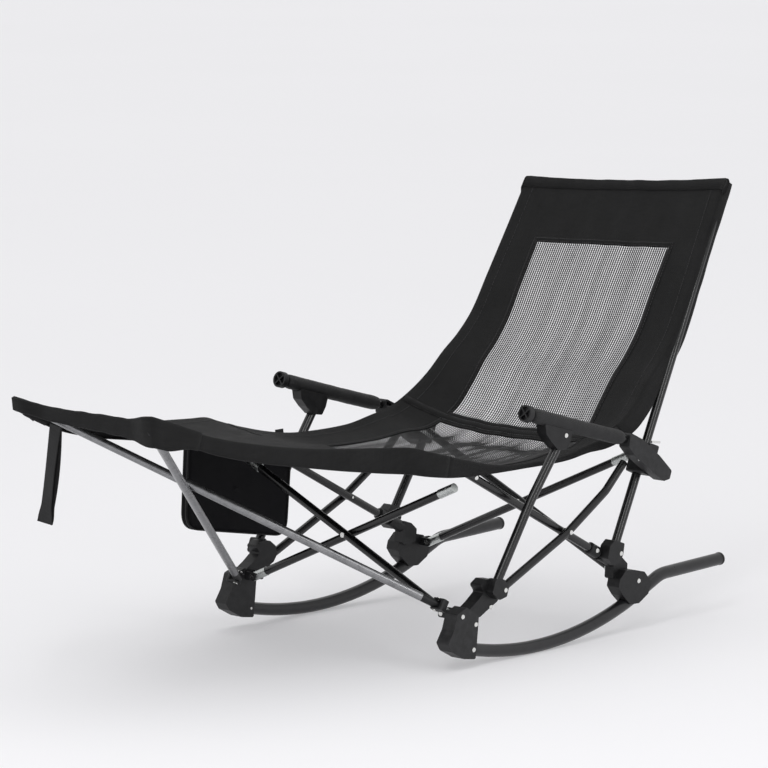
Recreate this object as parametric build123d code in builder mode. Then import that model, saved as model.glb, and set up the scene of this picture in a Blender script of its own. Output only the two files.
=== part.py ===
"""Folding camp rocking chair with a raised leg rest, in millimetres.

Origin: on the floor, in the middle of the chair's width, level with the front feet.
+Z is up, the leg rest points along -Y, the backrest along +Y and the sitter's left is +X.
Each side frame is built once on the +X side and mirrored about the middle plane.
"""
from build123d import *
from math import atan2, cos, degrees, hypot, radians, sin, sqrt
import os

os.makedirs("parts", exist_ok=True)

# --- driving dimensions: where the layers of a side frame stand across the chair (X) ---
X_RAIL = 297.0  # rocker, front foot and rear hub
X_PIN = 262.0  # feet of the front and rear cross tubes
X_LONG = 283.0  # side tube from the rear hub up to the seat's front corner
X_SHORT = 300.0  # side tube from the front hub up to the seat's rear corner
X_POST = 318.0  # foot of the front post
X_ARM = 327.0  # armrest
X_BACK_TOP = 250.0  # top of the back post

# --- tubes ---
ROCKER_R = 12.5
POST_R = 9.0
BAR_R = 8.0
FITTING_R = 9.0
WALL = 1.2
BAR_GAP = 18.0  # distance between the centre planes of two tubes that cross
RUNNING = 0.05  # radial clearance of a pivot pin
SLOT_GAP = 0.3  # clearance on each side of a part that swings in a slot
PIN_R = 3.0
SHANK_R = 2.5

# --- rocker ---
SOLE_R = 800.0  # radius of the rocker's centre line
SOLE_Y = 200.0  # where the rocker touches the floor
ROCKER_PIN = (7.0, 36.0)
ROCKER_FRONT_Y = -4.0
ROCKER_REAR_Y = 515.0
HANDLE_RUN = 48.0
HANDLE_BEND_R = 90.0
HANDLE_TURN = 21.5
HANDLE_LENGTH = 165.0
SOLE_CENTRE_Z = ROCKER_R + SOLE_R

# --- cross tubes: both pairs share one half length and one angle, so they fold together ---
CROSS_RISE = 117.6  # from a foot pin up to the crossing
FRONT_FOOT = (-8.0, 105.0)
REAR_FOOT = (500.0, 107.0)
CROSS_HALF = hypot(CROSS_RISE, X_PIN)

# --- leg rest tubes: they lie in one sloping plane and cross without a pin ---
REST_FOOT = (-46.0, 116.0)
REST_CROSS = (-434.0, 361.0)
REST_TIP_X = 178.0
REST_SLOPE = degrees(atan2(REST_CROSS[1] - REST_FOOT[1], REST_FOOT[0] - REST_CROSS[0]))
REST_CROSS_RUN = hypot(REST_CROSS[1] - REST_FOOT[1], REST_FOOT[0] - REST_CROSS[0])
REST_LENGTH = hypot(REST_CROSS_RUN, X_PIN) * (X_PIN + REST_TIP_X) / X_PIN
REST_END_LENGTH = 34.0

# --- side tubes as (y, z) ---
LONG_LINE = [(466, 131), (-32, 397)]
SHORT_LINE = [(66, 124), (292, 224), (403, 291), (457, 341)]
SIDE_PIVOT = (292.0, 224.0)
POST_LINE = [(60, 150), (156, 305), (236, 412)]
BACK_LINE = [(432, 172), (824, 862)]
RIGHT_POST_SHORT = 34.0  # the right back post ends this much lower, so the cloth's top edge leans

# --- armrest ---
ARM_FRONT = (133.0, 477.0)
ARM_REAR = (430.0, 393.0)
ARM_R = 15.5
ARM_CORE_R = 8.0
ARM_CAP_LENGTH = 12.0
ARM_SLOPE = degrees(atan2(ARM_REAR[1] - ARM_FRONT[1], ARM_REAR[0] - ARM_FRONT[0]))
ARM_LENGTH = hypot(ARM_REAR[0] - ARM_FRONT[0], ARM_REAR[1] - ARM_FRONT[1])

# --- sling: half widths and the side line of the cloth as (y, z) ---
CLOTH = 3.0
SEAT_HALF = 258.0
KNEE = (-110.0, 428.0)
SEAT_FALL = (0.0, 392.0)
SEAT_LOW = (215.0, 352.0)
SEAT_REAR = (450.0, 372.0)
BACK_MIDDLE = (640.0, 622.0)
BACK_TOP = (806.0, 852.0)
BACK_TOP_HALF = 226.0
REST_TIP = (-700.0, 549.0)
REST_TIP_HALF = 150.0


def save(part, name):
    """Label a finished piece and write it."""
    part.label = name
    export_step(part, f"parts/{name}.step")


def save_pair(part, name):
    """Write a piece of the left side frame and its mirror image for the right one."""
    save(part, f"{name}_left")
    save(mirror(part, about=Plane.YZ), f"{name}_right")


def bar(points, radius, wall=None, bend=40.0):
    """A round tube, or a solid rod where no wall is given, along straight runs with round bends."""
    with BuildPart() as piece:
        with BuildLine() as route:
            if len(points) > 2:
                FilletPolyline(*points, radius=bend)
            else:
                Line(*points)
        with BuildSketch(Plane(origin=route.line @ 0, z_dir=route.line % 0)):
            Circle(radius)
            if wall:
                Circle(radius - wall, mode=Mode.SUBTRACT)
        sweep()
    return piece.part


def side_bar(line, x_start, x_end, radius, wall=None, bend=40.0):
    """A tube of the side frame; it leans evenly across the chair from x_start to x_end."""
    runs = [0.0]
    for (y0, z0), (y1, z1) in zip(line, line[1:]):
        runs.append(runs[-1] + hypot(y1 - y0, z1 - z0))
    points = [
        (x_start + (x_end - x_start) * run / runs[-1], y, z) for run, (y, z) in zip(runs, line)
    ]
    return bar(points, radius, wall, bend)


def plate(outline, x_low, x_high, corner=4.0, inset=0.0):
    """A moulded block: an outline in the side view, pulled across from x_low to x_high."""
    with BuildPart() as piece:
        with BuildSketch(Plane.YZ.offset(x_low)) as face:
            with BuildLine():
                Polyline(*outline, close=True)
            make_face()
            fillet(face.vertices(), corner)
            if inset:
                offset(amount=-inset, mode=Mode.REPLACE)
        extrude(amount=x_high - x_low)
    return piece.part


def rivet(y, z, x_head, x_tip, shank=SHANK_R):
    """A dome rivet across the side frame: its head sits outside x_head."""
    head = 1 if x_head > x_tip else -1
    with BuildPart() as piece:
        with BuildSketch(Plane.YZ.offset(x_tip)):
            with Locations((y, z)):
                Circle(shank)
        extrude(amount=x_head - x_tip)
        with BuildSketch(Plane.YZ.offset(x_head)):
            with Locations((y, z)):
                Circle(shank + 2.2)
        extrude(amount=2.2 * head)
        chamfer(piece.edges().sort_by(Axis.X)[-1 if head > 0 else 0], 1.0)
    return piece.part


# =====================================================================================
# Rivets of one side frame. Every plate and tube below is drilled by the same solids.
# =====================================================================================
RAIL_OUT = X_RAIL + 15.5
RAIL_IN = X_RAIL - 15.5
HUB_RIVET = (79.0, 143.0)
RIVETS = [
    (-24.0, 104.0, RAIL_OUT, RAIL_OUT - 8),  # foot block, top
    (13.0, 84.0, RAIL_OUT, RAIL_OUT - 8),  # foot block, rear
    (55.0, 112.0, RAIL_OUT, RAIL_OUT - 8),  # front hub, lower
    (HUB_RIVET[0], HUB_RIVET[1], X_POST + 11, X_POST - 6),  # front hub, post
    (SIDE_PIVOT[0], SIDE_PIVOT[1], X_SHORT + BAR_R, X_LONG - BAR_R),  # side crossing
    (37.0, 360.5, X_LONG + BAR_R, X_LONG - BAR_R),  # seat corner on the long tube
    (385.0, 174.3, X_LONG + 12, X_LONG - BAR_R),  # stop collar
    (439.0, 163.0, X_SHORT + 10, X_SHORT - 6),  # slider
    (490.0, 102.0, RAIL_OUT, RAIL_OUT - 8),  # rear hub
    (241.0, 423.0, X_ARM + 11, X_ARM - 6),  # armrest bracket
    (462.0, 352.0, X_ARM + 8, X_ARM - 6),  # armrest tail
]
with BuildPart() as rivets:
    for y, z, head, tip in RIVETS:
        add(rivet(y, z, head, tip))
save_pair(rivets.part, "rivets")

rocker_pin = rivet(*ROCKER_PIN, RAIL_OUT, RAIL_IN)

# =====================================================================================
# Rocker: a tube bent to one long arc, then a short rise and a level handle at the back
# =====================================================================================
def sole_angle(y):
    """Where on the sole's circle the rocker's centre line passes y, in degrees."""
    reach = y - SOLE_Y
    return degrees(atan2(-sqrt(SOLE_R**2 - reach**2), reach))


sole_start = sole_angle(ROCKER_FRONT_Y)
sole_end = sole_angle(ROCKER_REAR_Y)


def rocker_tube(radius, wall):
    """The rocker's tube, or the room it takes where no wall is given."""
    with BuildPart() as piece:
        with BuildLine(Plane.YZ.offset(X_RAIL)) as route:
            sole = CenterArc((SOLE_Y, SOLE_CENTRE_Z), SOLE_R, sole_start, sole_end - sole_start)
            rise = Line(sole @ 1, sole @ 1 + (sole % 1) * HANDLE_RUN)
            bend = JernArc(rise @ 1, rise % 1, HANDLE_BEND_R, -HANDLE_TURN)
            Line(bend @ 1, bend @ 1 + (bend % 1) * HANDLE_LENGTH)
        with BuildSketch(Plane(origin=route.line @ 0, z_dir=route.line % 0)):
            Circle(radius)
            if wall:
                Circle(radius - wall, mode=Mode.SUBTRACT)
        sweep()
    return piece.part, route.line @ 1, route.line % 1


rocker_solid, handle_end, handle_way = rocker_tube(ROCKER_R, WALL)
with BuildPart() as rocker:
    add(rocker_solid)
    add(rivet(*ROCKER_PIN, RAIL_OUT, RAIL_IN, SHANK_R + RUNNING), mode=Mode.SUBTRACT)
save_pair(rocker.part, "rocker")

with BuildPart() as handle_cap:
    with BuildSketch(Plane(origin=handle_end, z_dir=handle_way)):
        Circle(ROCKER_R + 0.6)
    extrude(amount=7)
    fillet(handle_cap.edges().sort_by(Axis.Y)[-1], 4)
save_pair(handle_cap.part, "handle_cap")

# =====================================================================================
# Front foot: a boot with two cheeks that take the rocker, and a yoke on its inner face
# =====================================================================================
BOOT = [
    (-38, 110), (-12, 120), (22, 99), (17, 52), (13, 17),
    (-20, 22), (-54, 40), (-64, 56), (-48, 80),
]


def yoke(plane, half_slot, reach, stand):
    """Two ears that hold a round end of a tube; plane is set at the pin, z along the pin."""
    with BuildPart() as piece:
        with BuildSketch(plane.offset(-half_slot - 3)):
            with Locations((stand / 2, 0)):
                RectangleRounded(2 * reach + stand, 2 * reach, 4)
        extrude(amount=2 * half_slot + 6)
        with BuildSketch(plane.offset(-half_slot)):
            with Locations((-1, 0)):
                Rectangle(2 * reach + 14, 4 * reach)
        extrude(amount=2 * half_slot, mode=Mode.SUBTRACT)
    return piece.part


def cross_plane(x, y, z):
    """A plane at a cross tube's pin: x towards the side frame, z along the pin (Y)."""
    return Plane(origin=(x, y, z), x_dir=(1, 0, 0), z_dir=(0, -1, 0))


REST_NORMAL = (0, -sin(radians(REST_SLOPE)), -cos(radians(REST_SLOPE)))


def rest_plane(side):
    """The leg rest tube's pin plane; the left tube lies behind the right one."""
    shift = -side * BAR_GAP / 2
    return Plane(
        origin=(X_PIN, REST_FOOT[0] + shift * REST_NORMAL[1], REST_FOOT[1] + shift * REST_NORMAL[2]),
        x_dir=(1, 0, 0),
        z_dir=REST_NORMAL,
    )


def cross_y(foot, side):
    """The cross tube that stands on the left foot runs in front of the other one."""
    return foot[0] - side * BAR_GAP / 2


def pin(plane, half, radius=PIN_R):
    """A pivot pin with a low round head at each end."""
    with BuildPart() as piece:
        with BuildSketch(plane.offset(-half)):
            Circle(radius)
        extrude(amount=2 * half)
        for level in (-half - 2, half):
            with BuildSketch(plane.offset(level)):
                Circle(radius + 2)
            extrude(amount=2)
    return piece.part


def place(part, side):
    """Keep a left piece as it is, or mirror it for the right side frame."""
    return part if side > 0 else mirror(part, about=Plane.YZ)


FRONT_SLOT = FITTING_R + SLOT_GAP
REST_SLOT = BAR_R + SLOT_GAP
for side, word in ((1, "left"), (-1, "right")):
    foot_plane = cross_plane(X_PIN, cross_y(FRONT_FOOT, side), FRONT_FOOT[1])
    front_pin = pin(foot_plane, FRONT_SLOT + 3)
    rest_pin = pin(rest_plane(side), REST_SLOT + 3)
    with BuildPart() as foot:
        add(plate(BOOT, RAIL_IN, RAIL_OUT))
        add(yoke(foot_plane, FRONT_SLOT, 8, 14))
        add(yoke(rest_plane(side), REST_SLOT, 8, 14))
        with BuildSketch(Plane.YZ.offset(X_RAIL - ROCKER_R - SLOT_GAP)):
            with Locations((12, 28)):
                Rectangle(50, 60)
        extrude(amount=2 * (ROCKER_R + SLOT_GAP), mode=Mode.SUBTRACT)
        add(rivets.part, mode=Mode.SUBTRACT)
        add(rocker_pin, mode=Mode.SUBTRACT)
        add(front_pin, mode=Mode.SUBTRACT)
        add(rest_pin, mode=Mode.SUBTRACT)
    save(place(foot.part, side), f"front_foot_{word}")

# =====================================================================================
# Side tubes and posts
# =====================================================================================
long_room = side_bar(LONG_LINE, X_LONG, X_LONG, BAR_R)
short_room = side_bar(SHORT_LINE, X_SHORT, X_SHORT, BAR_R, bend=60)
post_room = side_bar(POST_LINE, X_POST, X_ARM, POST_R, bend=120)
back_room = side_bar(BACK_LINE, X_RAIL, X_BACK_TOP, POST_R)

with BuildPart() as side_long:
    add(side_bar(LONG_LINE, X_LONG, X_LONG, BAR_R, WALL))
    add(rivets.part, mode=Mode.SUBTRACT)
save_pair(side_long.part, "side_long")

with BuildPart() as side_short:
    add(side_bar(SHORT_LINE, X_SHORT, X_SHORT, BAR_R, WALL, bend=60))
    add(rivets.part, mode=Mode.SUBTRACT)
save_pair(side_short.part, "side_short")

with BuildPart() as front_post:
    add(side_bar(POST_LINE, X_POST, X_ARM, POST_R, WALL, bend=120))
    add(rivets.part, mode=Mode.SUBTRACT)
save_pair(front_post.part, "front_post")

back_way = (Vector(X_BACK_TOP, *BACK_LINE[1]) - Vector(X_RAIL, *BACK_LINE[0])).normalized()
for side, word, cut in ((1, "left", 0), (-1, "right", RIGHT_POST_SHORT)):
    post_top = Vector(X_BACK_TOP, *BACK_LINE[1]) - back_way * cut
    with BuildPart() as back_post:
        add(bar([(X_RAIL, *BACK_LINE[0]), post_top], POST_R, WALL))
        add(rivets.part, mode=Mode.SUBTRACT)
    save(place(back_post.part, side), f"back_post_{word}")

# a washer keeps the two side tubes apart at their crossing
with BuildPart() as side_washer:
    with BuildSketch(Plane.YZ.offset(X_LONG + BAR_R)):
        with Locations(SIDE_PIVOT):
            Circle(7)
            Circle(SHANK_R, mode=Mode.SUBTRACT)
    extrude(amount=X_SHORT - X_LONG - 2 * BAR_R)

for side, word in ((1, "left"), (-1, "right")):
    with BuildPart() as pivot_pins:
        add(rocker_pin)
        add(pin(cross_plane(X_PIN, cross_y(FRONT_FOOT, side), FRONT_FOOT[1]), FRONT_SLOT + 3))
        add(pin(cross_plane(X_PIN, cross_y(REAR_FOOT, side), REAR_FOOT[1]), FRONT_SLOT + 3))
        add(pin(rest_plane(side), REST_SLOT + 3))
        add(side_washer.part)
    save(place(pivot_pins.part, side), f"pivot_pins_{word}")

# =====================================================================================
# Front hub: the arm that rises from the foot and holds the front post and a side tube
# =====================================================================================
HUB_ARM = [
    (-10, 112), (14, 126), (36, 142), (25, 157), (42, 167), (64, 164),
    (80, 152), (84, 134), (74, 120), (44, 106), (24, 96),
]
HUB_CUP = [(42, 142), (52, 168), (76, 164), (89, 148), (83, 130), (62, 126)]
with BuildPart() as front_hub:
    add(plate(HUB_ARM, RAIL_IN + 4, RAIL_OUT))
    add(plate(HUB_CUP, X_POST - 8, X_POST + 11, 5))
    add(plate(BOOT, RAIL_IN, RAIL_OUT), mode=Mode.SUBTRACT)
    add(short_room, mode=Mode.SUBTRACT)
    add(post_room, mode=Mode.SUBTRACT)
    add(rivets.part, mode=Mode.SUBTRACT)
save_pair(front_hub.part, "front_hub")

# =====================================================================================
# Rear hub: a saddle that the rocker snaps into from below, a cup for the long side tube
# and a yoke for the rear cross tube
# =====================================================================================
SADDLE = [
    (434, 112), (452, 128), (476, 126), (508, 118), (530, 94),
    (520, 72), (492, 57), (466, 58), (444, 78), (430, 97),
]
LONG_CUP = [(434, 112), (438, 158), (462, 150), (478, 136), (476, 112), (454, 104)]
rocker_room, _, _ = rocker_tube(ROCKER_R + SLOT_GAP, None)
for side, word in ((1, "left"), (-1, "right")):
    hub_plane = cross_plane(X_PIN, cross_y(REAR_FOOT, side), REAR_FOOT[1])
    rear_pin = pin(hub_plane, FRONT_SLOT + 3)
    with BuildPart() as rear_hub:
        add(plate(SADDLE, RAIL_IN, RAIL_OUT))
        add(plate(LONG_CUP, X_LONG - 11, X_LONG + 11))
        add(yoke(hub_plane, FRONT_SLOT, 8, 14))
        add(rocker_room, mode=Mode.SUBTRACT)
        with BuildSketch(Plane.YZ.offset(X_RAIL - ROCKER_R - SLOT_GAP)):
            with BuildLine():
                Polyline((400, 20), (400, 36), (540, 98), (540, 20), close=True)
            make_face()
        extrude(amount=2 * (ROCKER_R + SLOT_GAP), mode=Mode.SUBTRACT)
        add(long_room, mode=Mode.SUBTRACT)
        add(rivets.part, mode=Mode.SUBTRACT)
        add(rear_pin, mode=Mode.SUBTRACT)
    save(place(rear_hub.part, side), f"rear_hub_{word}")

# =====================================================================================
# Slider at the foot of the back post, and the stop collar in front of it
# =====================================================================================
SLIDER = [(400, 158), (406, 182), (420, 192), (450, 182), (446, 160), (437, 146), (419, 141)]
long_way = (Vector(0, *LONG_LINE[1]) - Vector(0, *LONG_LINE[0])).normalized()


def on_long(y):
    """The point of the long side tube's centre line at y."""
    return Vector(X_LONG, *LONG_LINE[0]) + long_way * ((y - LONG_LINE[0][0]) / long_way.Y)


with BuildPart() as slider:
    with BuildSketch(Plane(origin=on_long(442), z_dir=long_way)):
        Circle(12)
    extrude(amount=42)
    add(plate(SLIDER, X_LONG + 3, X_SHORT + 10))
    add(long_room, mode=Mode.SUBTRACT)
    add(back_room, mode=Mode.SUBTRACT)
    add(rivets.part, mode=Mode.SUBTRACT)
    add(plate(LONG_CUP, X_LONG - 11, X_LONG + 11), mode=Mode.SUBTRACT)
save_pair(slider.part, "slider")

with BuildPart() as stop_collar:
    with BuildSketch(Plane(origin=on_long(397), z_dir=long_way)):
        Circle(12)
    extrude(amount=27)
    chamfer(stop_collar.edges().sort_by(Axis.Y)[0], 2)
    add(long_room, mode=Mode.SUBTRACT)
    add(rivets.part, mode=Mode.SUBTRACT)
save_pair(stop_collar.part, "stop_collar")

# =====================================================================================
# Armrest: a steel core in a foam sleeve, an open ribbed cap, a front bracket and a tail
# =====================================================================================
arm_plane = Plane(
    origin=(X_ARM, *ARM_FRONT),
    x_dir=(1, 0, 0),
    z_dir=(0, cos(radians(ARM_SLOPE)), sin(radians(ARM_SLOPE))),
)
TAIL = [
    (430, 407), (470, 388), (520, 350), (556, 317), (550, 301), (532, 299), (508, 314),
    (474, 338), (444, 360), (426, 378),
]
POST_CLAMP = [(494, 318), (518, 374), (546, 364), (522, 306)]

with BuildPart() as arm_core:
    with BuildSketch(arm_plane.offset(ARM_CAP_LENGTH)):
        Circle(ARM_CORE_R)
        Circle(ARM_CORE_R - WALL, mode=Mode.SUBTRACT)
    extrude(amount=ARM_LENGTH + 10)
save_pair(arm_core.part, "arm_core")

with BuildPart() as arm_pad:
    with BuildSketch(arm_plane.offset(ARM_CAP_LENGTH)):
        Circle(ARM_R)
        Circle(ARM_CORE_R, mode=Mode.SUBTRACT)
    extrude(amount=ARM_LENGTH - ARM_CAP_LENGTH - 14)
save_pair(arm_pad.part, "arm_pad")

with BuildPart() as arm_cap:
    with BuildSketch(arm_plane):
        Circle(ARM_R + 0.8)
    extrude(amount=ARM_CAP_LENGTH)
    with BuildSketch(arm_plane):
        Circle(ARM_R - 2.5)
        for turn in (45, 135):
            Rectangle(3 * ARM_R, 2.4, rotation=turn, mode=Mode.SUBTRACT)
    extrude(amount=7, mode=Mode.SUBTRACT)
save_pair(arm_cap.part, "arm_cap")

ARM_BRACKET = [(218, 398), (198, 416), (184, 432), (180, 456), (262, 433), (254, 410), (243, 394)]
arm_room = Part() + extrude(arm_plane.offset(-5) * Circle(ARM_R), ARM_LENGTH + 30)
with BuildPart() as arm_bracket:
    add(plate(ARM_BRACKET, X_ARM - 13, X_ARM + 11, 5))
    add(arm_room, mode=Mode.SUBTRACT)
    add(post_room, mode=Mode.SUBTRACT)
    add(rivets.part, mode=Mode.SUBTRACT)
save_pair(arm_bracket.part, "arm_bracket")

with BuildPart() as arm_tail:
    add(plate(TAIL, X_ARM - 13, X_ARM + 13, 5))
    add(plate(TAIL, X_ARM - 14, X_ARM - 4, 5, inset=4), mode=Mode.SUBTRACT)
    add(plate(POST_CLAMP, X_RAIL - 24, X_ARM - 11, 4))
    add(arm_pad.part, mode=Mode.SUBTRACT)
    add(arm_core.part, mode=Mode.SUBTRACT)
    add(back_room, mode=Mode.SUBTRACT)
    add(rivets.part, mode=Mode.SUBTRACT)
save_pair(arm_tail.part, "arm_tail")

# a thin bolt behind the clamp keeps the cloth's lower corner on the back post
with BuildPart() as corner_bolt:
    with BuildSketch(Plane(origin=(X_RAIL - 12, 558, 368), z_dir=(0, 1, -0.15))):
        Circle(2.5)
    extrude(amount=26)
save_pair(corner_bolt.part, "corner_bolt")

# =====================================================================================
# Cross tubes, front and rear: a tube with a galvanised fitting at each end
# =====================================================================================
FITTING_LENGTH = 34.0
FITTING_GRIP = 16.0


def cross_member(foot, side, name):
    """One cross tube from its foot pin on one side up to the other side's seat corner."""
    start = cross_plane(X_PIN, cross_y(foot, side), foot[1])
    way = Vector(-X_PIN, 0, CROSS_RISE).normalized()
    pin_point = start.origin
    length = 2 * CROSS_HALF
    along = Plane(origin=pin_point, x_dir=(0, 1, 0), z_dir=way)
    foot_room = pin(start, FRONT_SLOT + 3, PIN_R + RUNNING)
    crossing = cross_plane(0, cross_y(foot, side), foot[1] + CROSS_RISE)
    centre_room = pin(crossing, BAR_GAP, PIN_R + (RUNNING if side < 0 else 0))
    with BuildPart() as tube:
        with BuildSketch(along.offset(FITTING_LENGTH - FITTING_GRIP)):
            Circle(BAR_R)
            Circle(BAR_R - WALL, mode=Mode.SUBTRACT)
        extrude(amount=length - 2 * (FITTING_LENGTH - FITTING_GRIP))
        add(centre_room, mode=Mode.SUBTRACT)
    save(place(tube.part, side), name)
    with BuildPart() as fittings:
        for level, way_sign in ((0, 1), (length, -1)):
            with BuildSketch(along.offset(level)):
                Circle(FITTING_R)
            extrude(amount=FITTING_LENGTH * way_sign)
            with BuildSketch(along.offset(level)):
                Circle(FITTING_R)
            extrude(amount=-7 * way_sign)
        with BuildSketch(along.offset(FITTING_LENGTH - FITTING_GRIP)):
            Circle(BAR_R)
        extrude(amount=length - 2 * (FITTING_LENGTH - FITTING_GRIP), mode=Mode.SUBTRACT)
        add(foot_room, mode=Mode.SUBTRACT)
    save(place(fittings.part, side), f"{name}_fittings")


for foot, place_name in ((FRONT_FOOT, "front"), (REAR_FOOT, "rear")):
    for side, word in ((1, "left"), (-1, "right")):
        cross_member(foot, side, f"{place_name}_cross_{word}")
    middle = Plane(origin=(0, foot[0], foot[1] + CROSS_RISE), x_dir=(1, 0, 0), z_dir=(0, -1, 0))
    with BuildPart() as cross_rivet:
        add(pin(middle, BAR_GAP / 2 + BAR_R))
    save(cross_rivet.part, f"{place_name}_cross_rivet")

# =====================================================================================
# Leg rest tubes: bare tubes with a black moulded end at the foot
# =====================================================================================
rest_angle = degrees(atan2(REST_CROSS_RUN, X_PIN))
for side, word in ((1, "left"), (-1, "right")):
    base = rest_plane(side)
    up_slope = Vector(0, -cos(radians(REST_SLOPE)), sin(radians(REST_SLOPE)))
    way = Vector(-cos(radians(rest_angle)), 0, 0) + up_slope * sin(radians(rest_angle))
    along = Plane(origin=base.origin, x_dir=base.z_dir, z_dir=way)
    with BuildPart() as rest_tube:
        with BuildSketch(along.offset(REST_END_LENGTH)):
            Circle(BAR_R)
            Circle(BAR_R - WALL, mode=Mode.SUBTRACT)
        extrude(amount=REST_LENGTH - REST_END_LENGTH)
    save(place(rest_tube.part, side), f"rest_tube_{word}")
    with BuildPart() as rest_end:
        with BuildSketch(along.offset(-7)):
            Circle(BAR_R)
        extrude(amount=REST_END_LENGTH + 7)
        chamfer(rest_end.edges().sort_by(Axis.X)[-1], 2)
        add(pin(base, REST_SLOT + 3, PIN_R + RUNNING), mode=Mode.SUBTRACT)
        with BuildSketch(along.offset(REST_LENGTH)):
            Circle(BAR_R)
        extrude(amount=4)
    save(place(rest_end.part, side), f"rest_ends_{word}")

# =====================================================================================
# Sling: plain thin solids for the leg rest, the seat and the back, with open mesh windows
# =====================================================================================
SEAT_WINDOW = (200.0, 60.0, 380.0)  # half width, first y, last y
BACK_WINDOW = (172.0, 470.0, 712.0)


def cloth_strip(points, half):
    """A curved strip of cloth: its side line is a spline, pulled across the chair."""
    with BuildPart() as piece:
        with BuildSketch(Plane.YZ.offset(-half)):
            with BuildLine():
                lower = Spline(*points)
                upper = Spline(*[(y, z + CLOTH) for y, z in points])
                Line(lower @ 0, upper @ 0)
                Line(lower @ 1, upper @ 1)
            make_face()
        extrude(amount=2 * half)
    return piece.part


def window(half, y_low, y_high):
    """A column of room over and under a mesh window."""
    with BuildPart() as piece:
        with BuildSketch(Plane.XY):
            with Locations((0, (y_low + y_high) / 2)):
                RectangleRounded(2 * half, y_high - y_low, 30)
        extrude(amount=1000)
    return piece.part


seat_cloth = cloth_strip([KNEE, SEAT_FALL, SEAT_LOW, SEAT_REAR], SEAT_HALF)
back_line = [SEAT_REAR, BACK_MIDDLE, BACK_TOP]
with BuildPart() as back_blank:
    with BuildSketch(Plane.YZ.offset(-SEAT_HALF)):
        with BuildLine():
            front = Spline(*[(y + 1, z) for y, z in back_line])
            rear = Spline(*[(y + 1 + CLOTH, z) for y, z in back_line])
            Line(front @ 0, rear @ 0)
            Line(front @ 1, rear @ 1)
        make_face()
    extrude(amount=2 * SEAT_HALF)
    with BuildSketch(Plane.XZ):
        with BuildLine():
            Polyline(
                (-SEAT_HALF, 0),
                (-SEAT_HALF, SEAT_REAR[1]),
                (-BACK_TOP_HALF, BACK_TOP[1]),
                (-BACK_TOP_HALF, 1000),
                (BACK_TOP_HALF, 1000),
                (BACK_TOP_HALF, BACK_TOP[1]),
                (SEAT_HALF, SEAT_REAR[1]),
                (SEAT_HALF, 0),
                close=True,
            )
        make_face()
    extrude(amount=-1000, mode=Mode.INTERSECT)

cloths = (("seat", seat_cloth, SEAT_WINDOW), ("back", back_blank.part, BACK_WINDOW))
for name, blank, opening in cloths:
    with BuildPart() as panel:
        add(blank)
        add(window(*opening), mode=Mode.SUBTRACT)
    save(panel.part, f"{name}_panel")
    with BuildPart() as mesh:
        add(blank)
        add(window(*opening), mode=Mode.INTERSECT)
    save(mesh.part, f"{name}_mesh")

with BuildPart() as rest_panel:
    rest_way = Vector(0, *REST_TIP) - Vector(0, *KNEE)
    root = (0, KNEE[0] - 1, KNEE[1])
    with BuildSketch(Plane(origin=root, x_dir=(1, 0, 0), z_dir=rest_way)):
        Rectangle(2 * SEAT_HALF, CLOTH)
    with BuildSketch(Plane(origin=(0, *REST_TIP), x_dir=(1, 0, 0), z_dir=rest_way)):
        Rectangle(2 * REST_TIP_HALF, CLOTH)
    loft()
save(rest_panel.part, "rest_panel")

# =====================================================================================
# Side bag between the right side tubes and the right front post, and the webbing loop
# =====================================================================================
BAG = [(-152, 384), (126, 350), (138, 172), (-156, 206)]
BAG_POCKET = [(-149, 420), (123, 386), (135, 175), (-153, 209)]
BAG_IN = X_LONG + BAR_R + 3
BAG_OUT = X_POST - POST_R - 1.5
with BuildPart() as side_bag:
    add(plate(BAG, BAG_IN, BAG_OUT, 24))
    add(plate(BAG_POCKET, BAG_IN + CLOTH / 2, BAG_OUT - CLOTH / 2, 24), mode=Mode.SUBTRACT)
save(mirror(side_bag.part, about=Plane.YZ), "side_bag")

STRAP_TOP = (-90.0, -703.0, 500.0)
STRAP_END = (-114.0, -703.0, 318.0)
strap_way = Vector(*STRAP_END) - Vector(*STRAP_TOP)
with BuildPart() as strap:
    with BuildSketch(Plane(origin=STRAP_TOP, x_dir=(1, 0, 0), z_dir=strap_way)):
        Rectangle(32, 4)
    extrude(amount=strap_way.length)
save(strap.part, "strap")
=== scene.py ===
"""Looks of the folding camp rocking chair with a leg rest. Lengths are in mm in the design numbers
and in metres in the meshes; +Y points to the back of the chair and +X to its left side."""

from math import atan2, ceil, cos, hypot, pi, radians, sin

import bpy
from mathutils import Matrix, Vector, noise


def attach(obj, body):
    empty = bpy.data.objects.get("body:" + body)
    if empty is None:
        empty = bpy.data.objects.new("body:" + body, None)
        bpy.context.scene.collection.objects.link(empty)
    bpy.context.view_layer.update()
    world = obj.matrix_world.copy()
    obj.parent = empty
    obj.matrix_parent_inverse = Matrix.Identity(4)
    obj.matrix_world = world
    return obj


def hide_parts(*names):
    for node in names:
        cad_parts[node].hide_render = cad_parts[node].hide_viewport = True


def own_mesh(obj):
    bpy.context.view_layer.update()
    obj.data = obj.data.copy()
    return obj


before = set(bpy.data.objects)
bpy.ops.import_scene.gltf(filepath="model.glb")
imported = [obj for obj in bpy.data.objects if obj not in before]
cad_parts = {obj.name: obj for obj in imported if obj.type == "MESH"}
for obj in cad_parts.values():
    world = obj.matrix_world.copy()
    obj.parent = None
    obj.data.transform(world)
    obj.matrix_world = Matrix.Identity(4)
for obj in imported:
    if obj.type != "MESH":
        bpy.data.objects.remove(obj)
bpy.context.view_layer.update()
MM = 0.001
SIDES = ((1, "left"), (-1, "right"))

# ==================================================
# Materials
# ==================================================


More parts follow.
